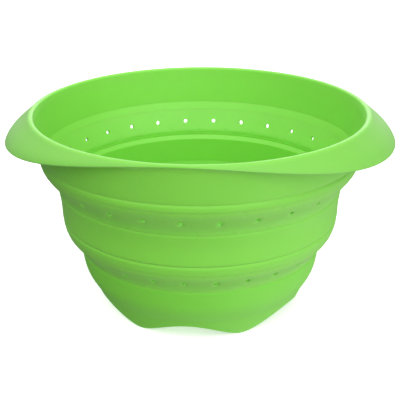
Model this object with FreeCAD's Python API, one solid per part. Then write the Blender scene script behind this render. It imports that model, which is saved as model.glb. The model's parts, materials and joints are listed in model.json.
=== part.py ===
"""Folding silicone colander, standing open: three nesting tiers joined by two drain webs.

Frame: the origin is the centre of the plane that the feet stand on, +Z is up, and the
handles point along X. Lengths are millimetres. A section is drawn in the (radius, z) plane,
its points running up the outside of the wall, and is turned about Z.
"""
import FreeCAD
import Part
import math
import os

# Driving dimensions: heights
HEIGHT = 136.0
FLOOR_TOP_Z = 15.0
CUP_BEND_Z = 30.0
CUP_TOP_Z = 41.4
LOWER_FOLD_Z = 57.8
LOWER_GROOVE_Z = 65.2
MIDDLE_TOP_Z = 86.4
UPPER_FOLD_Z = 105.2
UPPER_GROOVE_Z = 110.6
BEAD_Z = 131.0

# Driving dimensions: outside radii
FOOT_R = 68.2
FLOOR_TOP_R = 74.6
CUP_BEND_R = 81.6
CUP_TOP_R = 83.2
MIDDLE_BOTTOM_R = 93.4
MIDDLE_LIP_R = 94.2
MIDDLE_LOW_R = 94.6
MIDDLE_TOP_R = 96.2
UPPER_BOTTOM_R = 106.9
UPPER_LIP_R = 107.2
UPPER_LOW_R = 107.4
BEAD_R = 110.7
BRIM_FRONT_R = 113.0
HANDLE_TIP_R = 129.0

# Driving dimensions: wall, holes and details
WALL = 2.2
WEB_WALL = 1.8
BRIM_WALL = 1.6
FLOOR_WALL = 2.5
GROOVE_DEPTH = 1.3
GROOVE_RISE = 1.8
CREST_ROUND_R = 2.0
FOLD_CLEARANCE = 0.3
HANDLE_SHAPE_POWER = 2.7
HANDLE_HALF_ANGLE = 60.0
WEB_HOLE_D = 2.8
WEB_HOLE_COUNT = 28
FLOOR_HOLE_D = 4.0
FLOOR_HOLE_PITCH = 11.5
FLOOR_HOLE_RINGS = 5
FOOT_COUNT = 6
FOOT_LAND = 9.0
ARCH_HEIGHT = 10.7

OUT = "parts"
UP = FreeCAD.Vector(0, 0, 1)
ORIGIN = FreeCAD.Vector(0, 0, 0)


def at(radius, z):
    """Return the point of a section at a radius and a height."""
    return FreeCAD.Vector(radius, 0, z)


def polar(radius, degrees, z):
    """Return a point by its angle from the front, which is -Y, towards +X."""
    turn = math.radians(degrees)
    return FreeCAD.Vector(radius * math.sin(turn), -radius * math.cos(turn), z)


def lines(*points):
    """Return the straight edges that join (radius, z) points in turn."""
    ends = [at(*point) for point in points]
    return [Part.LineSegment(a, b).toShape() for a, b in zip(ends, ends[1:])]


def arc(start, through, end):
    """Return the arc edge through three (radius, z) points."""
    return Part.Arc(at(*start), at(*through), at(*end)).toShape()


def turned(edges):
    """Turn a closed section, given as edges in order, about Z into a solid."""
    return Part.Face(Part.Wire(edges)).revolve(ORIGIN, UP, 360)


def shell(points, wall):
    """Turn a wall whose outside runs through the points, and whose width is wall."""
    inside = [(radius - wall, z) for radius, z in reversed(points)]
    return turned(lines(*points, *inside, points[0]))


def radial_holes(diameter, count, radius, z):
    """Return drills pointing outwards, the first at the front, long enough for one wall."""
    drills = []
    for index in range(count):
        angle = 360.0 * index / count
        start = polar(radius - 4 * WALL, angle, z)
        drills.append(Part.makeCylinder(diameter / 2, 8 * WALL, start, polar(1, angle, 0)))
    return drills


def foot_skirt():
    """Return the cone under the floor, whose lower edge is cut into arches between feet."""
    skirt = shell([(FOOT_R, 0), (FLOOR_TOP_R, FLOOR_TOP_Z)], WALL)
    half_span = math.pi * FOOT_R / FOOT_COUNT - FOOT_LAND / 2
    outline = [(-half_span, 0), (-half_span / 2, 0.66 * ARCH_HEIGHT), (0, ARCH_HEIGHT)]
    outline += [(-along, z) for along, z in reversed(outline[:-1])]
    curve = Part.BSplineCurve()
    curve.interpolate([FreeCAD.Vector(along, -FLOOR_TOP_R - WALL, z) for along, z in outline])
    ends = [curve.getPoles()[-1], curve.getPoles()[0]]
    below = [end - UP for end in ends]
    sides = Part.makePolygon([ends[0], below[0], below[1], ends[1]]).Edges
    arch = Part.Face(Part.Wire([curve.toShape()] + sides)).extrude(FreeCAD.Vector(0, FOOT_R / 2, 0))
    for index in range(FOOT_COUNT):
        cutter = arch.copy()
        cutter.rotate(ORIGIN, UP, 360.0 * index / FOOT_COUNT)
        skirt = skirt.cut(cutter)
    return skirt


def drain_floor():
    """Return the perforated floor, which fills the top of the foot skirt."""
    lean = (FLOOR_TOP_R - FOOT_R) / FLOOR_TOP_Z
    top_r = FLOOR_TOP_R - WALL
    low_r = top_r - lean * FLOOR_WALL
    low_z = FLOOR_TOP_Z - FLOOR_WALL
    floor = turned(lines((0, low_z), (low_r, low_z), (top_r, FLOOR_TOP_Z), (0, FLOOR_TOP_Z), (0, low_z)))
    drills = [Part.makeCylinder(FLOOR_HOLE_D / 2, HEIGHT)]
    for ring in range(1, FLOOR_HOLE_RINGS + 1):
        for index in range(6 * ring):
            centre = polar(ring * FLOOR_HOLE_PITCH, 60.0 * index / ring, 0)
            drills.append(Part.makeCylinder(FLOOR_HOLE_D / 2, HEIGHT, centre))
    return floor.cut(Part.makeCompound(drills))


def cup_wall():
    """Return the wall of the bottom tier: a bowl-shaped bend, then nearly upright."""
    bend_r = (FLOOR_TOP_R + CUP_BEND_R) / 2 + 1.2
    bend_z = (FLOOR_TOP_Z + CUP_BEND_Z) / 2 - 0.5
    outside = [(FLOOR_TOP_R, FLOOR_TOP_Z), (bend_r, bend_z), (CUP_BEND_R, CUP_BEND_Z)]
    inside = [(radius - WALL, z) for radius, z in reversed(outside)]
    top = [(CUP_TOP_R, CUP_TOP_Z), (CUP_TOP_R - WALL, CUP_TOP_Z)]
    edges = [arc(*outside)] + lines(outside[-1], *top, inside[0])
    edges += [arc(*inside)] + lines(inside[-1], outside[0])
    return turned(edges)


def web(low, high):
    """Return a drain web: a thin leaning wall between two (radius, z) points, with holes."""
    wall = shell([low, high], WEB_WALL)
    mid_r = (low[0] + high[0]) / 2
    mid_z = (low[1] + high[1]) / 2
    return wall.cut(Part.makeCompound(radial_holes(WEB_HOLE_D, WEB_HOLE_COUNT, mid_r, mid_z)))


def lower_drain_web():
    """Return the web between the bottom and middle tiers, just clear of the middle tier."""
    return web((CUP_TOP_R, CUP_TOP_Z), (MIDDLE_BOTTOM_R, LOWER_FOLD_Z - FOLD_CLEARANCE))


def upper_drain_web():
    """Return the web between the middle and top tiers, just clear of the top tier."""
    return web((MIDDLE_TOP_R, MIDDLE_TOP_Z), (UPPER_BOTTOM_R, UPPER_FOLD_Z - FOLD_CLEARANCE))


def hinge_lip(bottom_r, lip_r, low_r, fold_z, groove_z):
    """Return the thickened lip that a web hangs from, under the groove of its tier."""
    lip_z = fold_z + GROOVE_RISE
    outside = [(bottom_r, fold_z), (lip_r, lip_z), (low_r - GROOVE_DEPTH, groove_z)]
    inside_r = low_r - WALL
    return turned(lines(*outside, (inside_r, groove_z), (bottom_r - WALL, fold_z), outside[0]))


def tier_band(low_r, top_r, groove_z, top_z):
    """Return the plain wall of a tier, whose lower outside edge is rounded into the groove."""
    groove_r = low_r - GROOVE_DEPTH
    outside = [(low_r, groove_z + GROOVE_RISE), (top_r, top_z)]
    inside = [(top_r - WALL, top_z), (low_r - WALL, groove_z)]
    return turned(lines((groove_r, groove_z), *outside, *inside, (groove_r, groove_z)))


def crest_end():
    """Return where the round of the crest meets the 45 degree slope of the brim."""
    reach = CREST_ROUND_R * math.cos(math.radians(45))
    centre_r = BEAD_R - WALL + CREST_ROUND_R
    return centre_r + reach, HEIGHT - CREST_ROUND_R + reach


def rim_bead():
    """Return the rolled crest of the rim, round on top, which the brim hangs from."""
    end_r, end_z = crest_end()
    under = BRIM_WALL * math.cos(math.radians(45))
    inner_r = BEAD_R - WALL
    centre_z = HEIGHT - CREST_ROUND_R
    crest = arc((inner_r, centre_z), (inner_r + CREST_ROUND_R, HEIGHT), (end_r, end_z))
    outside = [(end_r, end_z), (end_r - under, end_z - under), (BEAD_R, BEAD_Z)]
    return turned([crest] + lines(*outside, (inner_r, BEAD_Z), (inner_r, centre_z)))


def brim_edge_radius(degrees):
    """Return how far out the brim reaches at an angle from the front."""
    share = 1 - abs(math.cos(math.radians(degrees))) ** HANDLE_SHAPE_POWER
    return BRIM_FRONT_R + (HANDLE_TIP_R - BRIM_FRONT_R) * share


def brim():
    """Return the whole turned-down brim: a 45 degree cone trimmed to its plan outline."""
    end_r, end_z = crest_end()
    under = BRIM_WALL * math.cos(math.radians(45))
    run = HANDLE_TIP_R + WALL - end_r
    slope = [(end_r, end_z), (end_r - under, end_z - under)]
    tip = [(end_r - under + run, end_z - under - run), (end_r + run, end_z - run)]
    cone = turned(lines(*slope, *tip, slope[0]))
    plan = Part.BSplineCurve()
    steps = range(0, 360, 10)
    plan.interpolate([polar(brim_edge_radius(step), step, 0) for step in steps], PeriodicFlag=True)
    prism = Part.Face(Part.Wire(plan.toShape())).extrude(UP * 2 * HEIGHT)
    return cone.common(prism)


def wedge(centre_degrees, half_angle):
    """Return a tall wedge about Z that keeps one stretch of a ring."""
    far = 2 * HANDLE_TIP_R
    corners = [ORIGIN]
    for share in (-1, 0, 1):
        corners.append(polar(far, centre_degrees + share * half_angle, 0))
    return Part.Face(Part.makePolygon(corners + [ORIGIN])).extrude(UP * 2 * HEIGHT)


def brim_pieces():
    """Return the two handles and the two narrow stretches of brim between them."""
    whole = brim()
    rest_angle = 90.0 - HANDLE_HALF_ANGLE
    stretches = {
        "front_brim": (0.0, rest_angle),
        "right_handle": (90.0, HANDLE_HALF_ANGLE),
        "rear_brim": (180.0, rest_angle),
        "left_handle": (270.0, HANDLE_HALF_ANGLE),
    }
    return {name: whole.common(wedge(*stretch)) for name, stretch in stretches.items()}


def build():
    """Return every node of the colander by name."""
    nodes = {
        "foot_skirt": foot_skirt(),
        "drain_floor": drain_floor(),
        "cup_wall": cup_wall(),
        "lower_drain_web": lower_drain_web(),
        "lower_hinge_lip": hinge_lip(
            MIDDLE_BOTTOM_R, MIDDLE_LIP_R, MIDDLE_LOW_R, LOWER_FOLD_Z, LOWER_GROOVE_Z
        ),
        "middle_band": tier_band(MIDDLE_LOW_R, MIDDLE_TOP_R, LOWER_GROOVE_Z, MIDDLE_TOP_Z),
        "upper_drain_web": upper_drain_web(),
        "upper_hinge_lip": hinge_lip(
            UPPER_BOTTOM_R, UPPER_LIP_R, UPPER_LOW_R, UPPER_FOLD_Z, UPPER_GROOVE_Z
        ),
        "upper_band": tier_band(UPPER_LOW_R, BEAD_R, UPPER_GROOVE_Z, BEAD_Z),
        "rim_bead": rim_bead(),
    }
    nodes.update(brim_pieces())
    return nodes


os.makedirs(OUT, exist_ok=True)
for node, shape in build().items():
    shape.exportStep(f"{OUT}/{node}.step")
    box = shape.BoundBox
    print(f"{node:16s} solids {len(shape.Solids)} valid {shape.isValid()} volume {shape.Volume:9.1f}"
          f" z {box.ZMin:6.1f} to {box.ZMax:6.1f} x {box.XMin:7.1f} to {box.XMax:6.1f}")
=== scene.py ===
"""Looks of a folding silicone colander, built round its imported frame.

The colander is one moulding of lime green silicone: stiff tiers that nest when it folds, two
leaning webs between them that turn inside out, a turned-down brim that widens into two
handles, and a wavy foot. Lengths are millimetres until a mesh is made. Angles run from the
front, which is -Y, towards +X. A section is drawn in the (radius, height) plane, up the
outside of the wall and down the inside, so that its faces point outwards when it is turned.
"""

import json
import logging
import math
from collections.abc import Sequence
from dataclasses import dataclass, field
from enum import Enum
from typing import Any

import bpy
import numpy as np
from mathutils import Matrix, Vector


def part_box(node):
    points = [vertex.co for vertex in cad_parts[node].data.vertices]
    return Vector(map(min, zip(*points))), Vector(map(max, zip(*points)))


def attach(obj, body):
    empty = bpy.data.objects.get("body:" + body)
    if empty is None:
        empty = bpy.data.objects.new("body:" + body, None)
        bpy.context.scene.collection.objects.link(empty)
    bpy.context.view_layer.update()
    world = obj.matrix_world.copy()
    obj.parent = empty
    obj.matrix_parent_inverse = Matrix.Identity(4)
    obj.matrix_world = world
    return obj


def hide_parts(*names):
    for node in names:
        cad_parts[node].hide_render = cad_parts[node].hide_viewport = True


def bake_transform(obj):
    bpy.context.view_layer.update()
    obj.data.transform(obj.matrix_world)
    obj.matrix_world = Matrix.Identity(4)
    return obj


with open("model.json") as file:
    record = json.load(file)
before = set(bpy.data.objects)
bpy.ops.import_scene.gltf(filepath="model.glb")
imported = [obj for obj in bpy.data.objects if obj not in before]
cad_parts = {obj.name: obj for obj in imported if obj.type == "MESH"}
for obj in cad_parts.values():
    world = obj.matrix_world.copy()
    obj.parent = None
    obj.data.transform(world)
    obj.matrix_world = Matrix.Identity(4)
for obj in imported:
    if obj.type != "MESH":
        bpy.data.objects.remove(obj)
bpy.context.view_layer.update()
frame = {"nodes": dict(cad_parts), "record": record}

Tree = bpy.types.NodeTree
Socket = bpy.types.NodeSocket

LOG = logging.getLogger("colander")
MM = 0.001
TURN_STEPS = 336
# A piece that stands for one node is called after it, with this at the end.
MOULDING = "_moulding"
# How far the top of a wall runs on into the web above it, so that no gap shows.
OVERLAP = 0.3
# A rounding has this many points, and takes at most this share of a side.
ROUNDING_POINTS = 8
ROUNDING_SHARE = 0.45
# A side has a point this close to each end, or this share of its length if that is less.
HOLD = 0.12
HOLD_SHARE = 0.2
# A ledge falls this much for each millimetre inwards, between these two roundings.
LEDGE_FALL = 1.4
LEDGE_TOP_ROUNDING = 0.3
LEDGE_FOOT_ROUNDING = 0.5


class Body(Enum):
    """The parts of the colander that move as one, as the frame names them."""

    BASE = "base"
    MIDDLE = "middle"
    RIM = "rim"


class Slot(Enum):
    """The frame's material slots."""

    BASE = "silicone_base"
    WEB = "silicone_web"
    TIER = "silicone_tier"
    RIM = "silicone_rim"


@dataclass(frozen=True)
class Ring:
    """How far a turned node reaches: its foot, its top and its outside radius."""

    low: float
    high: float
    radius: float

    @classmethod
    def of(cls, node: str) -> "Ring":
        """Measure a node of the frame.

        Args:
            node: name of a node that is turned about Z.

        Returns:
            Its reach in millimetres.
        """
        lowest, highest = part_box(node)
        return cls(lowest[2] / MM, highest[2] / MM, highest[0] / MM)


# Meshes


def turn_angles(first: int = 0, last: int = TURN_STEPS) -> np.ndarray:
    """Angles of the steps from first to last round the colander, and one step past each end.

    Args:
        first: step that the surface starts at, counted from the front.
        last: step that it ends at.

    Returns:
        Angles in radians, as a column.
    """
    steps = np.arange(first - 1, last + 2) % TURN_STEPS
    return (2 * np.pi * steps / TURN_STEPS)[:, None]


def place(radius: np.ndarray, angle: np.ndarray, height: np.ndarray) -> np.ndarray:
    """Put cylinder coordinates in the frame: x = r sin a, y = -r cos a, z = height.

    Args:
        radius: distances from the axis in millimetres.
        angle: angles from the front towards +X in radians.
        height: heights in millimetres.

    Returns:
        Points in metres, with the coordinates along the last axis.
    """
    radius, angle, height = np.broadcast_arrays(radius, angle, height)
    return np.stack([radius * np.sin(angle), -radius * np.cos(angle), height], axis=-1) * MM


@dataclass(frozen=True)
class Corner:
    """A corner of a section, and how far along each side its rounding reaches."""

    radius: float
    height: float
    rounding: float = 0.04


def parabola(start: np.ndarray, pull: np.ndarray, end: np.ndarray, share: np.ndarray) -> np.ndarray:
    """Draw the parabola (1 - s)^2 A + 2 s (1 - s) K + s^2 B.

    Args:
        start: A, where it starts.
        pull: K, the point that bends it.
        end: B, where it ends.
        share: s, from 0 to 1, as a column.

    Returns:
        Points along it.
    """
    return (1 - share) ** 2 * start + 2 * share * (1 - share) * pull + share**2 * end


def rounded(corners: Sequence[Corner], pitch: float = 2.0) -> np.ndarray:
    """Round the corners of a closed section and divide its straight sides.

    A rounding is a parabola that the corner bends, between points on the corner's two sides.
    A side has a point close to each of its ends, which keeps its shading flat right up to
    the rounding.

    Args:
        corners: corners in turn, with the inside of the section on the left.
        pitch: longest step along a side in millimetres.

    Returns:
        Closed outline as rows of (radius, height), its first point given once.
    """
    points = np.array([(corner.radius, corner.height) for corner in corners])
    roundings = np.array([corner.rounding for corner in corners])[:, None]
    towards = [np.roll(points, shift, axis=0) - points for shift in (1, -1)]
    lengths = [np.linalg.norm(side, axis=1, keepdims=True) for side in towards]
    ends = [
        points + side / length * np.minimum(roundings, ROUNDING_SHARE * length)
        for side, length in zip(towards, lengths)
    ]
    share = np.linspace(0, 1, ROUNDING_POINTS)[:, None]
    outline = []
    for index, corner in enumerate(points):
        start, end = ends[0][index], ends[1][index]
        outline.append(parabola(start, corner, end, share))
        side = ends[0][(index + 1) % len(points)] - end
        length = float(np.linalg.norm(side))
        hold = min(HOLD, HOLD_SHARE * length) / length
        steps = np.linspace(hold, 1 - hold, max(2, math.ceil(length / pitch) + 1))[:, None]
        outline.append(end + steps * side)
    return np.concatenate(outline)


def closed(outline: np.ndarray) -> np.ndarray:
    """Repeat the ends of a closed outline so that a patch over it closes with true slopes."""
    return np.concatenate([outline[-1:], outline, outline[:2]])


@dataclass
class Skin:
    """The faces of one closed piece, gathered patch by patch and then welded."""

    corners: list[np.ndarray] = field(default_factory=list)
    normals: list[np.ndarray] = field(default_factory=list)

    def add_patch(self, grid: np.ndarray) -> None:
        """Add a smooth patch.

        The normal at a point is the cross product of the two slopes of the grid there, each
        taken between the point's neighbours.

        Args:
            grid: points in metres, with one more row and column round the patch.
        """
        along = grid[2:, 1:-1] - grid[:-2, 1:-1]
        across = grid[1:-1, 2:] - grid[1:-1, :-2]
        normals = np.cross(along, across)
        normals /= np.linalg.norm(normals, axis=-1, keepdims=True)
        self._add(grid[1:-1, 1:-1], normals)

    def add_flat(self, grid: np.ndarray) -> None:
        """Add a flat patch, such as the end of a stretch of wall.

        Args:
            grid: points in metres, which lie in one plane.
        """
        normal = np.cross(grid[-1, 0] - grid[0, 0], grid[0, -1] - grid[0, 0])
        self._add(grid, np.broadcast_to(normal / np.linalg.norm(normal), grid.shape))

    def _add(self, points: np.ndarray, normals: np.ndarray) -> None:
        """Keep the four corners of every cell of a grid, and the normals there."""
        for kept, values in ((self.corners, points), (self.normals, normals)):
            cells = (values[:-1, :-1], values[1:, :-1], values[1:, 1:], values[:-1, 1:])
            kept.append(np.stack(cells, axis=2).reshape(-1, 3))

    def make(self, name: str) -> bpy.types.Object:
        """Weld the patches into one mesh.

        Args:
            name: name of the piece.

        Returns:
            The piece, at the origin, linked to the scene.
        """
        points = np.concatenate(self.corners)
        keys = np.round(points / (MM * 1e-4)).astype(np.int64)
        _, first, index = np.unique(keys, axis=0, return_index=True, return_inverse=True)
        mesh = bpy.data.meshes.new(name)
        mesh.vertices.add(len(first))
        mesh.vertices.foreach_set("co", points[first].ravel())
        mesh.loops.add(len(points))
        mesh.loops.foreach_set("vertex_index", index.ravel().astype(np.int32))
        mesh.polygons.add(len(points) // 4)
        mesh.polygons.foreach_set("loop_start", np.arange(0, len(points), 4, dtype=np.int32))
        mesh.update(calc_edges=True)
        mesh.polygons.foreach_set("use_smooth", np.ones(len(points) // 4, dtype=bool))
        mesh.normals_split_custom_set(np.concatenate(self.normals).tolist())
        piece = bpy.data.objects.new(name, mesh)
        bpy.context.scene.collection.objects.link(piece)
        return piece


def turned(name: str, corners: Sequence[Corner]) -> bpy.types.Object:
    """Turn a rounded section about Z into a closed ring.

    Args:
        name: name of the piece.
        corners: corners of the section.

    Returns:
        The piece.
    """
    outline = closed(rounded(corners))
    skin = Skin()
    skin.add_patch(place(outline[:, 0], turn_angles(), outline[:, 1]))
    return skin.make(name)


# Finishes


def linear(colour: str) -> tuple[float, float, float, float]:
    """Turn an sRGB hex colour into the linear colour that shaders use.

    Args:
        colour: six hex digits after a #.

    Returns:
        Linear red, green and blue, and 1 for alpha.
    """
    parts = [int(colour[i : i + 2], 16) / 255 for i in (1, 3, 5)]
    red, green, blue = (c / 12.92 if c <= 0.04045 else ((c + 0.055) / 1.055) ** 2.4 for c in parts)
    return red, green, blue, 1.0


def add_node(
    tree: Tree,
    kind: str,
    settings: dict[str, Any] | None = None,
    values: dict[str | int, Any] | None = None,
    links: dict[str | int, Socket] | None = None,
) -> bpy.types.Node:
    """Add one node with its settings, its socket values and the links into it.

    Args:
        tree: node tree to add to.
        kind: identifier of the node type.
        settings: node properties by name.
        values: input values by socket name or number.
        links: output sockets to link from, by input name or number.

    Returns:
        The node.
    """
    node = tree.nodes.new(kind)
    for name, value in (settings or {}).items():
        setattr(node, name, value)
    for socket, value in (values or {}).items():
        node.inputs[socket].default_value = value
    for socket, source in (links or {}).items():
        tree.links.new(source, node.inputs[socket])
    return node


@dataclass(frozen=True)
class MouldedSilicone:
    """Silicone rubber with one even colour all the way through and a satin skin.

    To the eye it has soft wide highlights and no mirror image, edges that glow slightly
    where light gets into the wall, and a very fine grain.
    """

    name: str
    colour: str = "#86d74c"
    shade: str = "#80d247"
    roughness: float = 0.46
    roughness_spread: float = 0.08
    grain_size: float = 0.7
    grain_depth: float = 0.02
    cloud_size: float = 34.0
    swell_size: float = 15.0
    swell_depth: float = 0.05
    subsurface: float = 0.30
    subsurface_depth: float = 2.4
    sheen: float = 0.03
    specular: float = 0.5
    scuff_height: float = 0.0
    scuff_size: float = 2.5
    scuff_dulling: float = 0.2
    scuff_colour: str = "#a5dd7a"
    # Painted shade: outside this radius the colour darkens towards this tint, over this width.
    painted_shade_from: float = 0.0
    painted_shade_over: float = 3.0
    painted_shade_colour: str = "#7ac549"

    def material(self) -> bpy.types.Material:
        """Build the material.

        Returns:
            The material, in which object coordinates carry every pattern.
        """
        made = bpy.data.materials.new(self.name)
        made.use_nodes = True
        tree = made.node_tree
        tree.nodes.clear()
        place_on = add_node(tree, "ShaderNodeTexCoord").outputs["Object"]
        # The depth of the colour drifts a little over a few centimetres.
        clouds = self._noise(tree, place_on, self.cloud_size, 3.0)
        pigment = add_node(
            tree,
            "ShaderNodeMix",
            {"data_type": "RGBA"},
            {6: linear(self.colour), 7: linear(self.shade)},
            {0: clouds},
        ).outputs[2]
        # Some patches are duller than others, so highlights break up softly.
        half_spread = self.roughness_spread / 2
        glossiest, dullest = self.roughness - half_spread, self.roughness + half_spread
        gloss = self._spread(tree, clouds, (0.3, 0.7), (glossiest, dullest))
        # On the rim, painted shade darkens the colour outside the crest.
        if self.painted_shade_from:
            pigment = self._painted_shade(tree, place_on, pigment)
        if self.scuff_height:
            pigment, gloss = self._scuffed(tree, place_on, pigment, gloss)
        # The wall swells and sinks very slightly, which bends its highlights.
        swelling = self._noise(tree, place_on, self.swell_size, 1.0)
        swell = self._bump(tree, swelling, self.swell_depth)
        # A moulded grain is too fine to show at this size, so it is drawn coarser.
        grain = self._noise(tree, place_on, self.grain_size, 2.0)
        relief = self._bump(tree, grain, self.grain_depth, swell)
        # Green travels furthest inside the rubber, so thin edges and the inside glow green.
        silicone = add_node(
            tree,
            "ShaderNodeBsdfPrincipled",
            values={
                "IOR": 1.43,
                "Subsurface Weight": self.subsurface,
                "Subsurface Radius": (0.35, 1.0, 0.15),
                "Subsurface Scale": self.subsurface_depth * MM,
                "Specular IOR Level": self.specular,
                "Sheen Weight": self.sheen,
                "Sheen Roughness": 0.5,
            },
            links={"Base Color": pigment, "Roughness": gloss, "Normal": relief},
        )
        add_node(tree, "ShaderNodeOutputMaterial", links={"Surface": silicone.outputs["BSDF"]})
        return made

    def _noise(self, tree: Tree, vector: Socket, size: float, detail: float) -> Socket:
        """Add noise whose features are about size millimetres across."""
        values = {"Scale": 1 / (size * MM), "Detail": detail, "Roughness": 0.55}
        noise = add_node(tree, "ShaderNodeTexNoise", values=values, links={"Vector": vector})
        return noise.outputs["Fac"]

    def _spread(
        self,
        tree: Tree,
        value: Socket,
        given: tuple[float, float],
        wanted: tuple[float, float] = (0.0, 1.0),
    ) -> Socket:
        """Map a value from the range given to the range wanted, and hold it at the ends."""
        values = dict(zip(("From Min", "From Max", "To Min", "To Max"), (*given, *wanted)))
        spread = add_node(tree, "ShaderNodeMapRange", values=values, links={"Value": value})
        return spread.outputs["Result"]

    def _tinted(self, tree: Tree, colour: Socket, tint: str, share: Socket) -> Socket:
        """Mix a colour towards a tint by a share."""
        links = {0: share, 6: colour}
        mix = add_node(tree, "ShaderNodeMix", {"data_type": "RGBA"}, {7: linear(tint)}, links)
        return mix.outputs[2]

    def _bump(
        self, tree: Tree, height: Socket, depth: float, under: Socket | None = None
    ) -> Socket:
        """Add relief of a depth in millimetres, over the relief under it."""
        links = {"Height": height, "Normal": under} if under else {"Height": height}
        values = {"Strength": 1.0, "Distance": depth * MM}
        return add_node(tree, "ShaderNodeBump", values=values, links=links).outputs["Normal"]

    def _painted_shade(self, tree: Tree, place_on: Socket, pigment: Socket) -> Socket:
        """Darken the colour away from the axis: painted shade on the brim and handles, and partly
        the deeper colour of thick, doubled rubber.

        Args:
            tree: the node tree.
            place_on: object coordinates.
            pigment: colour of the thin silicone, before the painted shade.

        Returns:
            The colour, darkened outwards by painted shade and by the depth of thick rubber.
        """
        flat = add_node(
            tree, "ShaderNodeVectorMath", {"operation": "MULTIPLY"}, {1: (1, 1, 0)}, {0: place_on}
        ).outputs[0]
        length = add_node(tree, "ShaderNodeVectorMath", {"operation": "LENGTH"}, links={0: flat})
        painted_shade_span = (self.painted_shade_from * MM, (self.painted_shade_from + self.painted_shade_over) * MM)
        painted_shade_share = self._spread(tree, length.outputs["Value"], painted_shade_span)
        return self._tinted(tree, pigment, self.painted_shade_colour, painted_shade_share)

    def _scuffed(
        self, tree: Tree, place_on: Socket, pigment: Socket, gloss: Socket
    ) -> tuple[Socket, Socket]:
        """Wear the silicone near the plane that it stands on.

        Args:
            tree: the node tree.
            place_on: object coordinates.
            pigment: colour of the fresh silicone.
            gloss: roughness of the fresh silicone.

        Returns:
            The colour and the roughness with paler, duller scuffs.
        """
        height = add_node(tree, "ShaderNodeSeparateXYZ", links={"Vector": place_on}).outputs["Z"]
        near = self._spread(tree, height, (self.scuff_height * MM, 0.0))
        speckle = self._noise(tree, place_on, self.scuff_size, 4.0)
        specks = self._spread(tree, speckle, (0.5, 0.7), (0.0, 0.6))
        worn = add_node(
            tree, "ShaderNodeMath", {"operation": "MULTIPLY"}, links={0: near, 1: specks}
        ).outputs[0]
        colour = self._tinted(tree, pigment, self.scuff_colour, worn)
        dull = add_node(
            tree,
            "ShaderNodeMath",
            {"operation": "MULTIPLY_ADD"},
            {1: self.scuff_dulling},
            {0: worn, 2: gloss},
        ).outputs[0]
        return colour, dull


@dataclass(frozen=True)
class Finishes:
    """The silicone as it shows on each part of the moulding."""

    # The foot and the cup are a little duller than the rest, and scuffed where they stand.
    base: MouldedSilicone = MouldedSilicone(
        "moulded_silicone_base",
        colour="#7fd645",
        shade="#7ad141",
        roughness=0.50,
        sheen=0.0,
        scuff_height=5.0,
    )
    # The webs are the thinnest wall, so they let the most light through, and their colour is
    # painted a little paler as painted light, so they look palest.
    web: MouldedSilicone = MouldedSilicone(
        "moulded_silicone_thin_web", colour="#88d652", shade="#83d14c", subsurface=0.42, sheen=0.0
    )
    tier: MouldedSilicone = MouldedSilicone("moulded_silicone_tier")
    # The rim is the smoothest, with a slight bloom, and outside its crest its colour is darkened by
    # painted shade, partly for thick rubber.
    rim: MouldedSilicone = MouldedSilicone(
        "moulded_silicone_rolled_rim",
        roughness=0.36,
        sheen=0.12,
        swell_depth=0.03,
        painted_shade_from=111.0,
    )

    def materials(self) -> dict[Slot, bpy.types.Material]:
        """Build the material of every slot."""
        return {
            Slot.BASE: self.base.material(),
            Slot.WEB: self.web.material(),
            Slot.TIER: self.tier.material(),
            Slot.RIM: self.rim.material(),
        }


def dress(piece: bpy.types.Object, slot: Slot, materials: dict[Slot, bpy.types.Material]) -> None:
    """Give a piece the finish of its slot.

    Args:
        piece: the piece.
        slot: the frame's slot that it takes its finish from.
        materials: material of every slot.
    """
    piece.data.materials.clear()
    piece.data.materials.append(materials[slot])


# The colander


@dataclass
class Foot:
    """The wavy foot under the bowl, and the pierced floor that fills its top."""

    skirt: Ring = field(default_factory=lambda: Ring.of("foot_skirt"))
    wall: float = 2.2
    feet: int = 6
    arch_height: float = 10.7
    arch_fullness: float = 0.81
    edge_rounding: float = 0.7

    def foot_radius(self) -> float:
        """Outside radius at the plane that the feet stand on, from the middle of a land."""
        return frame["record"]["mounts"][0]["pos_m"][0] / MM + self.wall / 2

    def make_skirt(self) -> bpy.types.Object:
        """Build the skirt.

        Its lower edge is at height h ((1 - cos n(a - a0)) / 2) ^ p, where n is the number of
        feet, a0 the angle of the first, h the height of an arch and p how full its shoulders
        are. A point at share s of the wall lies at edge + s (top - edge), on a cone.

        Returns:
            The piece.
        """
        angle = turn_angles()
        swing = (1 - np.cos(self.feet * (angle - np.pi / self.feet))) / 2
        edge = self.arch_height * swing**self.arch_fullness
        lean = (self.skirt.radius - self.foot_radius()) / self.skirt.high
        height = self.skirt.high
        section = closed(
            rounded(
                [
                    Corner(0, 0, self.edge_rounding),
                    Corner(0, height),
                    Corner(-self.wall, height),
                    Corner(-self.wall, 0, self.edge_rounding),
                ],
                pitch=1.2,
            )
        )
        rise = edge + section[:, 1] * (height - edge) / height
        skin = Skin()
        skin.add_patch(place(self.foot_radius() + lean * rise + section[:, 0], angle, rise))
        return skin.make("foot_skirt_moulding")


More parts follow.
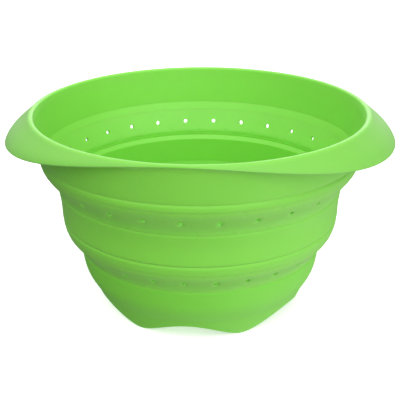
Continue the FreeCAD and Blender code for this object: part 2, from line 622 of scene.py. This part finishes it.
@dataclass
class Cup:
    """The wall of the bottom tier: a bowl-shaped bend, then nearly upright."""

    wall_box: Ring = field(default_factory=lambda: Ring.of("cup_wall"))
    skirt: Ring = field(default_factory=lambda: Ring.of("foot_skirt"))
    wall: float = 2.2
    bend_radius: float = 81.2
    bend_height: float = 26.5
    bend_rounding: float = 9.0
    # The top leans in by the taper above a rounding, and the wall is thicker under the ledge.
    top_rounding: float = 1.2
    top_taper: float = 0.5
    thickening: float = 0.8
    ledge: float = 2.2
    ledge_depth: float = 1.2

    def make_wall(self) -> bpy.types.Object:
        """Build the wall, with a sloping ledge inside its top.

        Returns:
            The piece.
        """
        low, high, top_r = self.wall_box.low, self.wall_box.high, self.wall_box.radius
        inner_r = top_r - self.wall - self.thickening
        ledge_z = high - self.ledge_depth
        return turned(
            "cup_wall_moulding",
            [
                Corner(self.skirt.radius, low),
                Corner(self.bend_radius, self.bend_height, self.bend_rounding),
                Corner(top_r, high - self.top_rounding, self.top_rounding),
                Corner(top_r - self.top_taper, high + OVERLAP),
                Corner(inner_r + self.ledge, high + OVERLAP),
                Corner(inner_r + self.ledge, ledge_z, LEDGE_TOP_ROUNDING),
                Corner(inner_r, ledge_z - self.ledge * LEDGE_FALL, LEDGE_FOOT_ROUNDING),
                Corner(self.bend_radius - self.wall, self.bend_height, self.bend_rounding),
                Corner(self.skirt.radius - self.wall, low),
            ],
        )


@dataclass
class HingeLip:
    """The thick lip under a tier's groove, which the web hangs from."""

    node: str
    groove_radius: float
    crown: float
    crown_rounding: float
    edge_radius: float
    edge_rounding: float
    inner_top: float
    inner_low: float
    # The crown stands out past the node, and the whole lip sits this much lower than it.
    bulge: float = 0.15
    drop: float = 0.8

    def make(self) -> bpy.types.Object:
        """Build the lip: a bead whose face leans back up to the groove above it.

        Returns:
            The piece.
        """
        ring = Ring.of(self.node)
        high, low = ring.high - self.drop, ring.low - self.drop
        return turned(
            self.node + MOULDING,
            [
                Corner(self.edge_radius, low, self.edge_rounding),
                Corner(ring.radius + self.bulge, high - self.crown, self.crown_rounding),
                Corner(self.groove_radius, high),
                Corner(self.inner_top, high),
                Corner(self.inner_low, low),
            ],
        )


@dataclass
class Band:
    """The plain wall of a tier, whose lower outside edge is rounded into the groove."""

    node: str
    low_radius: float
    groove_depth: float
    groove_rise: float
    shoulder: float
    waist: Corner | None = None
    brow: float = 0.0
    brow_lean: float = 0.4
    brow_rounding: float = 0.9
    ledge_depth: float = 0.0
    ledge_run: float = 0.0
    wall: float = 2.2
    top_wall: float = 1.25
    # The foot sits this much lower than the node's, down on the hinge lip.
    drop: float = 0.8

    def outside(self) -> list[Corner]:
        """Corners up the outside, with a small brow that faces up where a web stands on it."""
        ring = Ring.of(self.node)
        low = ring.low - self.drop
        corners = [
            Corner(self.low_radius - self.groove_depth, low),
            Corner(self.low_radius, low + self.groove_rise, self.shoulder),
        ]
        if self.waist:
            corners.append(self.waist)
        if self.brow:
            corners.append(Corner(ring.radius, ring.high - self.brow, self.brow_rounding))
            corners.append(Corner(ring.radius - self.brow_lean * self.brow, ring.high + OVERLAP))
        else:
            corners.append(Corner(ring.radius, ring.high))
        return corners

    def inside(self) -> list[Corner]:
        """Corners down the inside, with a sloping ledge under the fold of a web."""
        ring = Ring.of(self.node)
        foot = Corner(self.low_radius - self.wall, ring.low - self.drop)
        if not self.ledge_run:
            return [Corner(ring.radius - self.wall, ring.high), foot]
        high_r, ledge_z = ring.radius - self.top_wall, ring.high - self.ledge_depth
        fall = LEDGE_FALL * self.ledge_run
        return [
            Corner(high_r, ring.high + OVERLAP),
            Corner(high_r, ledge_z, LEDGE_TOP_ROUNDING),
            Corner(high_r - self.ledge_run, ledge_z - fall, LEDGE_FOOT_ROUNDING),
            foot,
        ]

    def make(self) -> bpy.types.Object:
        """Build the band.

        Returns:
            The piece.
        """
        return turned(self.node + MOULDING, [*self.outside(), *self.inside()])


@dataclass
class DrainWeb:
    """A leaning web pierced by one row of drain holes, which turns inside out as it folds."""

    node: str
    low_radius: float
    high_radius: float
    inner_low: tuple[float, float]
    inner_high: tuple[float, float]
    s_bend: float = 0.7
    buried: float = 1.0
    holes: int = 28
    hole_diameter: float = 2.8
    lip: float = 0.35
    dish_depth: float = 0.9
    dish_width: float = 1.9
    # A cell's border has four sides of this many steps. Its rows are these on a face and these
    # on a lip, and the rows of a face crowd towards the hole by this power.
    cell_steps: int = 8
    face_rows: int = 9
    lip_rows: int = 4
    crowding: float = 1.3

    def outside(self, share: np.ndarray) -> tuple[np.ndarray, np.ndarray]:
        """Outside of the web: r = r0 + (r1 - r0)(t + k (3t^2 - 2t^3 - t)), height even in t.

        Args:
            share: how far up the web, from 0 to 1.

        Returns:
            Radii and heights in millimetres.
        """
        ring = Ring.of(self.node)
        height = ring.low + share * (ring.high - ring.low)
        held = np.clip(share, 0, 1)
        bend = held + self.s_bend * (3 * held**2 - 2 * held**3 - held)
        return self.low_radius + (self.high_radius - self.low_radius) * bend, height

    def inside(self, height: np.ndarray) -> np.ndarray:
        """Inside radius at a height: an upright strip at the fold, then a straight cone."""
        low_r, low_z = self.inner_low
        high_r, high_z = self.inner_high
        lean = (high_r - low_r) / (high_z - low_z)
        return low_r + lean * np.maximum(height - low_z, 0.0)

    def border(self, half_width: float, half_height: float) -> np.ndarray:
        """Border of a cell, once round from the foot of its right side.

        Args:
            half_width: half of the cell's width.
            half_height: half of its height.

        Returns:
            Points as rows of (offset, rise) from the cell's centre.
        """
        side = np.linspace(-1, 1, self.cell_steps + 1)[:-1]
        one = np.ones_like(side)
        sides = [(one, side), (-side, one), (-one, -side), (side, -one)]
        square = np.concatenate([np.stack(pair, 1) for pair in sides])
        return square * (half_width, half_height)

    def rows(self) -> tuple[np.ndarray, np.ndarray, np.ndarray, np.ndarray]:
        """Rows of a cell, from its border outside, through the hole, to its border inside.

        Returns:
            For each row, its share of the border, the hole's radius there, how far it is sunk
            from the face outwards, and its side: 0 outside, 1 inside and 0.5 half way through.
        """
        hole_r = self.hole_diameter / 2
        mouth_r = hole_r + self.lip
        face, lip = self.face_rows, self.lip_rows
        spread = np.linspace(1, 0, face) ** self.crowding
        quarter = np.linspace(0, np.pi / 2, lip + 1)[1:]
        narrowing, turning = self.lip * (1 - np.sin(quarter)), self.lip * (1 - np.cos(quarter))
        share = np.concatenate([spread, np.zeros(lip + 1 + lip), spread[::-1][1:]])
        rho = np.concatenate(
            [
                np.full(face, mouth_r),
                hole_r + narrowing,
                [hole_r],
                hole_r + turning,
                np.full(face - 1, mouth_r),
            ]
        )
        sunk = np.concatenate([np.zeros(face), turning, [0], -narrowing, np.zeros(face - 1)])
        side_of = np.concatenate([np.zeros(face + lip), [0.5], np.ones(lip + face - 1)])
        return share, rho, sunk, side_of

    def make(self) -> bpy.types.Object:
        """Build the web from one square cell for each hole.

        A cell is a grid whose columns run round the hole and whose rows run across the outside
        from the cell's border to the hole, over its rounded lip, through the wall and back
        across the inside to the border. A row is d rho (1 - q) + border q, where d is the
        direction from the hole's centre, rho the hole's radius there and q the row's share.

        Returns:
            The piece.
        """
        ring = Ring.of(self.node)
        half_angle = np.pi / self.holes
        half_width = self.outside(np.array(0.5))[0] * half_angle
        half_height = (ring.high - ring.low) / 2
        border = self.border(half_width, half_height)
        direction = border / np.linalg.norm(border, axis=1, keepdims=True)
        share, rho, sunk, side_of = self.rows()
        across = (
            direction[None, :, :] * (rho * (1 - share))[:, None, None]
            + border[None, :, :] * share[:, None, None]
        )
        across = np.concatenate([across[:, -1:], across, across[:, :2]], axis=1)
        across = np.concatenate([across[:1], across, across[-1:]])
        sunk = np.concatenate([sunk[:1], sunk, sunk[-1:]])[:, None]
        side_of = np.concatenate([side_of[:1], side_of, side_of[-1:]])[:, None]
        offset, rise = across[..., 0], across[..., 1]
        dished = -self.dish_depth * np.exp(-((np.hypot(offset, rise) / self.dish_width) ** 2))
        up = 0.5 + rise / (2 * half_height)
        at_border = np.abs(up - 0.5) > 0.4999
        up = up + at_border * np.sign(up - 0.5) * self.buried / (2 * half_height)
        outer_r, height = self.outside(up)
        inner_r = self.inside(height)
        through = np.where(side_of > 0.5, inner_r - sunk, (outer_r + inner_r) / 2)
        radius = np.where(side_of < 0.5, outer_r - sunk + dished, through)
        skin = Skin()
        for index in range(self.holes):
            angle = 2 * half_angle * (index + offset / (2 * half_width))
            cell = place(radius, angle, height)
            cell[0] = 2 * cell[1] - cell[2]
            cell[-1] = 2 * cell[-2] - cell[-3]
            skin.add_patch(cell.transpose(1, 0, 2))
            for start in (self.cell_steps, 3 * self.cell_steps):
                stretch = slice(start + 1, start + self.cell_steps + 2)
                edge = np.stack([cell[-2, stretch], cell[1, stretch]], axis=1)
                skin.add_flat(edge)
        return skin.make(self.node + MOULDING)


@dataclass
class RolledRim:
    """The crest of the rim and the turned-down brim that widens into the two handles."""

    bead: Ring = field(default_factory=lambda: Ring.of("rim_bead"))
    band: Ring = field(default_factory=lambda: Ring.of("upper_band"))
    handle: Ring = field(default_factory=lambda: Ring.of("right_handle"))
    wall: float = 2.2
    crest_round: float = 1.8
    crest_lean: float = 0.5
    shoulder_round: float = 3.4
    # The crest starts at this angle on the inside wall.
    crest_from: float = 172.0
    # Where the band's outside starts to lean evenly.
    band_low: Corner = Corner(107.4, 112.6)
    brim_wall: float = 1.6
    shape_power: float = 2.7
    edge: float = 0.45
    crest_slope: float = 30.0
    start_slope: float = 44.0
    end_slope: float = 67.0
    start_pull: float = 0.34
    end_pull: float = 0.34
    fillet: float = 1.7
    front_fillet: float = 3.6
    front_span: float = 5.0
    # The fillet reaches this far along the underside, but no further than this share of it.
    fillet_reach: float = 1.4
    fillet_share: float = 0.8
    # How far down the brim and the band would meet: in brim walls, and in front in millimetres.
    pocket_depth: float = 0.6
    front_pocket: float = 1.4
    # The outside runs down this far under the band's surface, and ends inside its wall.
    tuck_depth: float = 5.0
    tuck_in: float = 0.9
    under_surface: float = 0.02
    upright_top: float = 0.5
    wall_hold: float = 0.05

    def front_radius(self) -> float:
        """How far the brim reaches at the front."""
        return -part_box("front_brim")[0][1] / MM

    def reach(self, angle: np.ndarray) -> np.ndarray:
        """Plan outline of the brim: R(a) = R0 + (R1 - R0)(1 - |cos a| ^ p).

        Args:
            angle: angles from the front in radians.

        Returns:
            Radii in millimetres.
        """
        share = 1 - np.abs(np.cos(angle)) ** self.shape_power
        return self.front_radius() + (self.handle.radius - self.front_radius()) * share

    def section(self, angle: np.ndarray) -> np.ndarray:
        """Section of the crest and brim at each angle, as points (radius, height).

        The top of the brim goes on from the crest as a cubic Bezier curve to an edge that lies
        on a 45 degree cone. The underside is a parabola with the same bulge, one wall below,
        and a second parabola leads it into the band.

        Args:
            angle: angles from the front in radians, as a column.

        Returns:
            Points in millimetres, one row to an angle, from the foot of the inside wall over
            the crest to the foot of the outside.
        """
        first, last = math.radians(self.start_slope), math.radians(self.end_slope)
        along_first = np.array([math.cos(first), -math.sin(first)])
        along_last = np.array([math.cos(last), -math.sin(last)])
        below_last = np.array([-math.sin(last), -math.cos(last)])
        inner_r, low = self.band.radius - self.wall, self.bead.low
        crest = self._crest(inner_r)
        crest = np.broadcast_to(crest, (len(angle), *crest.shape))
        edge_r = self.reach(angle)
        edge_z = self.handle.high - (edge_r - self.bead.radius)
        start = crest[:, -1:]
        end = np.stack([edge_r, edge_z], axis=-1) - self.edge * along_last
        chord = np.linalg.norm(end - start, axis=-1, keepdims=True)
        pulls = [
            start,
            start + self.start_pull * chord * along_first,
            end - self.end_pull * chord * along_last,
            end,
        ]
        s = np.linspace(0, 1, 20)[1:, None]
        weights = [(1 - s) ** 3, 3 * s * (1 - s) ** 2, 3 * s**2 * (1 - s), s**3]
        top = sum(weight * pull for weight, pull in zip(weights, pulls))
        out = np.array([[0.3], [0.75], [1.0], [0.75], [0.3], [0.0]])
        down = np.array([[0.06], [0.25], [0.5], [0.75], [0.94], [1.0]])
        edge = end + out * self.edge * along_last + down * self.brim_wall * below_last
        under_end = edge[:, -1:]
        ramp = np.clip((edge_r - self.front_radius()) / self.front_span, 0, 1)[..., None]
        apart = ramp**2 * (3 - 2 * ramp)
        side_pocket = self._on_band(start[:, :, 1:] - self.brim_wall * self.pocket_depth)
        front_pocket = self._on_band(under_end[..., 1:] - self.front_pocket)
        pocket = apart * side_pocket + (1 - apart) * front_pocket
        away = under_end - pocket
        length = np.linalg.norm(away, axis=-1, keepdims=True)
        reach = np.minimum(self.fillet * self.fillet_reach, self.fillet_share * length)
        tangent = pocket + away / length * reach
        bulge = (pulls[0] + 3 * pulls[1] + 3 * pulls[2] + pulls[3]) / 8 - (start + end) / 2
        middle = (under_end + tangent) / 2 + 2 * bulge * apart
        s = np.linspace(0, 1, 10)[1:, None]
        under = parabola(under_end, middle, tangent, s)
        drop = self.fillet * apart + self.front_fillet * (1 - apart)
        foot = self._on_band(pocket[..., 1:] - drop)
        join = parabola(tangent, pocket, foot, s)
        foot_z = foot[..., 1:]
        fall = (low - self.tuck_depth - foot_z) * np.array([[0.1], [0.5], [1.0]])
        tucked = self._on_band(foot_z + fall)
        inside_foot = [[inner_r, low], [inner_r, low + self.wall_hold]]
        held = np.broadcast_to(inside_foot, (len(angle), 2, 2))
        hidden = tucked[:, -1:] - [self.tuck_in, 0.0]
        return np.concatenate([held, crest, top, edge, under, join, tucked, hidden], axis=1)

    def _crest(self, inner_radius: float) -> np.ndarray:
        """Section of the crest: a tight arc up from the inside wall, then a wider one down.

        Args:
            inner_radius: radius of the inside wall in millimetres.

        Returns:
            Points as rows of (radius, height).
        """
        centre_r = inner_radius + self.crest_lean + self.crest_round
        centre = np.array([centre_r, self.bead.high - self.crest_round])
        inward = np.linspace(self.crest_from, 90, 12)
        outward = np.linspace(90, 90 - self.crest_slope, 8)[1:]
        turn = np.radians(np.concatenate([inward, outward]))[:, None]
        bend = np.where(turn < np.pi / 2, self.shoulder_round, self.crest_round)
        lift = self.crest_round - bend
        return centre + np.concatenate([bend * np.cos(turn), lift + bend * np.sin(turn)], axis=1)

    def _on_band(self, height: np.ndarray) -> np.ndarray:
        """Points at these heights a hair under the band's outside, upright above its top."""
        low, high = self.band_low.height, self.bead.low
        share = (np.minimum(height, high) - low) / (high - low)
        radius = self.band_low.radius + (self.band.radius - self.band_low.radius) * share
        sunk = self.under_surface * (height < high - self.upright_top)
        return np.concatenate([radius - sunk, height], axis=-1)

    def make(self) -> bpy.types.Object:
        """Build the rim as one closed surface, a function of the angle and the section.

        Returns:
            The piece.
        """
        angle = turn_angles()
        points = self.section(angle)[:, ::-1]
        points = np.concatenate([points[:, -1:], points, points[:, :2]], axis=1)
        skin = Skin()
        skin.add_patch(place(points[..., 0], angle, points[..., 1]))
        return skin.make("rolled_rim_moulding")


# Studio


def bearing(azimuth: float, elevation: float) -> tuple[float, float, float]:
    """Turn two angles into a direction.

    Args:
        azimuth: degrees from the front towards +X.
        elevation: degrees above the horizon.

    Returns:
        The direction from the colander, one unit long.
    """
    side, rise = math.radians(azimuth), math.radians(elevation)
    return math.sin(side) * math.cos(rise), -math.cos(side) * math.cos(rise), math.sin(rise)


@dataclass(frozen=True)
class SoftSource:
    """A large soft source: where it stands, how strong it is and how sharply it falls off."""

    azimuth: float
    elevation: float
    strength: float
    falloff: float = 6.0


@dataclass(frozen=True)
class Studio:
    """A white floor, a dome of large soft sources and the camera."""

    azimuth: float = 6.4
    elevation: float = 22.8
    distance: float = 570.6
    aim_height: float = 68.7
    lens: float = 73.7
    roll: float = -0.31
    floor_size: float = 60.0
    floor_glow: float = 0.45
    # The key stands in front on the right.
    key: SoftSource = SoftSource(50, 30, 1.6)
    # A high source in front reaches down into the bowl.
    high_front: SoftSource = SoftSource(-20, 60, 1.7)
    # A low source on the right reaches the undercut webs.
    low_right: SoftSource = SoftSource(90, -45, 1.0)
    # A weak one straight below stands for the light that a worktop sends back.
    below: SoftSource = SoftSource(0, -90, 0.4)
    # Two weak ones fill the side away from the key.
    left_fill: SoftSource = SoftSource(-90, 45, 0.5, 12)
    rear_fill: SoftSource = SoftSource(-135, 30, 0.4)
    # A narrow one low behind draws a pale line along the crest.
    rear_strip: SoftSource = SoftSource(180, 20, 2.4, 24)

    def sources(self) -> tuple[SoftSource, ...]:
        """Every source, in the order that the dome adds them up."""
        front = (self.key, self.high_front, self.low_right, self.below)
        return (*front, self.left_fill, self.rear_fill, self.rear_strip)

    def add_camera(self) -> None:
        """Add the camera, which looks down at the colander from the front."""
        data = bpy.data.cameras.new("camera")
        data.lens = self.lens
        data.sensor_width = 36.0
        data.clip_start = 0.01
        camera = bpy.data.objects.new("camera", data)
        away = Vector(bearing(self.azimuth, self.elevation))
        target = Vector((0, 0, self.aim_height * MM))
        turn = away.to_track_quat("Z", "Y").to_matrix().to_4x4()
        aimed = Matrix.Translation(target + away * (self.distance * MM)) @ turn
        camera.matrix_world = aimed @ Matrix.Rotation(math.radians(self.roll), 4, "Z")
        bpy.context.scene.collection.objects.link(camera)
        bpy.context.scene.camera = camera

    def add_floor(self) -> None:
        """Add the floor, a matt white sheet that takes a shadow and throws no light back."""
        half = self.floor_size / 2
        mesh = bpy.data.meshes.new("floor")
        corners = [(-half, -half, 0), (half, -half, 0), (half, half, 0), (-half, half, 0)]
        mesh.from_pydata(corners, [], [(0, 1, 2, 3)])
        floor = bpy.data.objects.new("floor", mesh)
        bpy.context.scene.collection.objects.link(floor)
        paint = bpy.data.materials.new("matt_white_sheet")
        paint.use_nodes = True
        shader = paint.node_tree.nodes["Principled BSDF"]
        shader.inputs["Base Color"].default_value = linear("#fafafa")
        shader.inputs["Roughness"].default_value = 0.9
        shader.inputs["Specular IOR Level"].default_value = 0.1
        shader.inputs["Emission Color"].default_value = (1, 1, 1, 1)
        shader.inputs["Emission Strength"].default_value = self.floor_glow
        mesh.materials.append(paint)
        floor.visible_diffuse = False
        floor.visible_glossy = False
        floor.visible_shadow = False
        floor.visible_transmission = False

    def add_light(self) -> None:
        """Add the dome, whose light from direction d is the sum of s ((1 + d . n) / 2) ^ f.

        Each source has its direction n, its strength s and its falloff f.
        """
        world = bpy.data.worlds.new("soft_dome")
        world.use_nodes = True
        tree = world.node_tree
        tree.nodes.clear()
        coords = add_node(tree, "ShaderNodeTexCoord").outputs["Generated"]
        ray = add_node(tree, "ShaderNodeVectorMath", {"operation": "NORMALIZE"}, links={0: coords})
        total = None
        for source in self.sources():
            total = self._added(tree, ray.outputs[0], source, total)
        white = {"Color": (1, 1, 1, 1)}
        dome = add_node(
            tree, "ShaderNodeBackground", values=white, links={"Strength": total}
        ).outputs[0]
        backdrop = add_node(tree, "ShaderNodeBackground", values=white).outputs[0]
        seen = add_node(tree, "ShaderNodeLightPath").outputs["Is Camera Ray"]
        shown = add_node(tree, "ShaderNodeMixShader", links={0: seen, 1: dome, 2: backdrop})
        add_node(tree, "ShaderNodeOutputWorld", links={"Surface": shown.outputs[0]})
        bpy.context.scene.world = world

    def _added(
        self, tree: Tree, ray: Socket, source: SoftSource, total: Socket | None
    ) -> Socket:
        """Add the light of one source to the total.

        Args:
            tree: the world's node tree.
            ray: direction d that light is asked for from.
            source: the source.
            total: light of the sources before it, or None.

        Returns:
            The new total.
        """
        facing = add_node(
            tree,
            "ShaderNodeVectorMath",
            {"operation": "DOT_PRODUCT"},
            {1: bearing(source.azimuth, source.elevation)},
            {0: ray},
        ).outputs["Value"]
        half = add_node(
            tree, "ShaderNodeMath", {"operation": "MULTIPLY_ADD"}, {1: 0.5, 2: 0.5}, {0: facing}
        ).outputs[0]
        lobe = add_node(
            tree, "ShaderNodeMath", {"operation": "POWER"}, {1: source.falloff}, {0: half}
        ).outputs[0]
        links = {0: lobe, 2: total} if total else {0: lobe}
        values = {1: source.strength, 2: 0.0}
        summed = add_node(tree, "ShaderNodeMath", {"operation": "MULTIPLY_ADD"}, values, links)
        return summed.outputs[0]

    def build(self) -> None:
        """Build the whole studio."""
        self.add_floor()
        self.add_light()
        self.add_camera()
        bpy.context.scene.view_settings.view_transform = "Standard"


def build_colander(materials: dict[Slot, bpy.types.Material]) -> None:
    """Build every rigid piece and put it on its body.

    Args:
        materials: material of every slot.
    """
    pieces = [
        (Foot().make_skirt(), Slot.BASE, Body.BASE, ["foot_skirt"]),
        (Cup().make_wall(), Slot.BASE, Body.BASE, ["cup_wall"]),
        (
            HingeLip(
                "lower_hinge_lip",
                groove_radius=93.8,
                crown=1.7,
                crown_rounding=1.6,
                edge_radius=93.1,
                edge_rounding=2.2,
                inner_top=92.4,
                inner_low=90.2,
            ).make(),
            Slot.TIER,
            Body.MIDDLE,
            ["lower_hinge_lip"],
        ),
        (
            Band(
                "middle_band",
                low_radius=94.6,
                groove_depth=0.8,
                groove_rise=1.2,
                shoulder=1.4,
                waist=Corner(94.9, 77.0, 6.0),
                brow=1.4,
                ledge_depth=1.0,
                ledge_run=2.1,
            ).make(),
            Slot.TIER,
            Body.MIDDLE,
            ["middle_band"],
        ),
        (
            HingeLip(
                "upper_hinge_lip",
                groove_radius=106.75,
                crown=1.8,
                crown_rounding=1.8,
                edge_radius=106.8,
                edge_rounding=1.6,
                inner_top=105.2,
                inner_low=102.4,
            ).make(),
            Slot.TIER,
            Body.RIM,
            ["upper_hinge_lip"],
        ),
        (
            Band(
                "upper_band",
                low_radius=107.4,
                groove_depth=0.65,
                groove_rise=2.0,
                shoulder=3.6,
            ).make(),
            Slot.TIER,
            Body.RIM,
            ["upper_band"],
        ),
        (
            RolledRim().make(),
            Slot.RIM,
            Body.RIM,
            ["rim_bead", "front_brim", "right_handle", "rear_brim", "left_handle"],
        ),
    ]
    for piece, slot, body, nodes in pieces:
        dress(piece, slot, materials)
        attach(piece, body.value)
        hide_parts(*nodes)
        LOG.info("%s rides on %s, %d faces", piece.name, body.value, len(piece.data.polygons))


def build_webs(materials: dict[Slot, bpy.types.Material]) -> None:
    """Build the two drain webs, between the tiers they join.

    Args:
        materials: material of every slot.
    """
    webs = [
        (
            DrainWeb(
                "lower_drain_web",
                low_radius=82.75,
                high_radius=93.0,
                inner_low=(82.0, 44.0),
                inner_high=(92.4, 64.8),
            ),
            Body.BASE,
            Body.MIDDLE,
        ),
        (
            DrainWeb(
                "upper_drain_web",
                low_radius=95.85,
                high_radius=106.7,
                inner_low=(95.3, 89.1),
                inner_high=(105.2, 110.2),
            ),
            Body.MIDDLE,
            Body.RIM,
        ),
    ]
    for web, below, above in webs:
        piece = web.make()
        dress(piece, Slot.WEB, materials)
        ring = Ring.of(web.node)
        start, end = (0, 0, ring.low * MM), (0, 0, ring.high * MM)
        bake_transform(piece)
        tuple(start)
        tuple(end)
        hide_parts(web.node)
        LOG.info("%s bends above %s, %d faces", piece.name, below.value, len(piece.data.polygons))


def main() -> None:
    """Build every piece, put each rigid one on its body, and light it."""
    logging.basicConfig(level=logging.INFO, format="%(name)s: %(message)s")
    materials = Finishes().materials()
    build_colander(materials)
    build_webs(materials)
    floor = frame["nodes"]["drain_floor"]
    floor.data.materials.clear()
    floor.data.materials.append(materials[Slot.BASE])
    Studio().build()


if __name__ == "__main__":
    main()
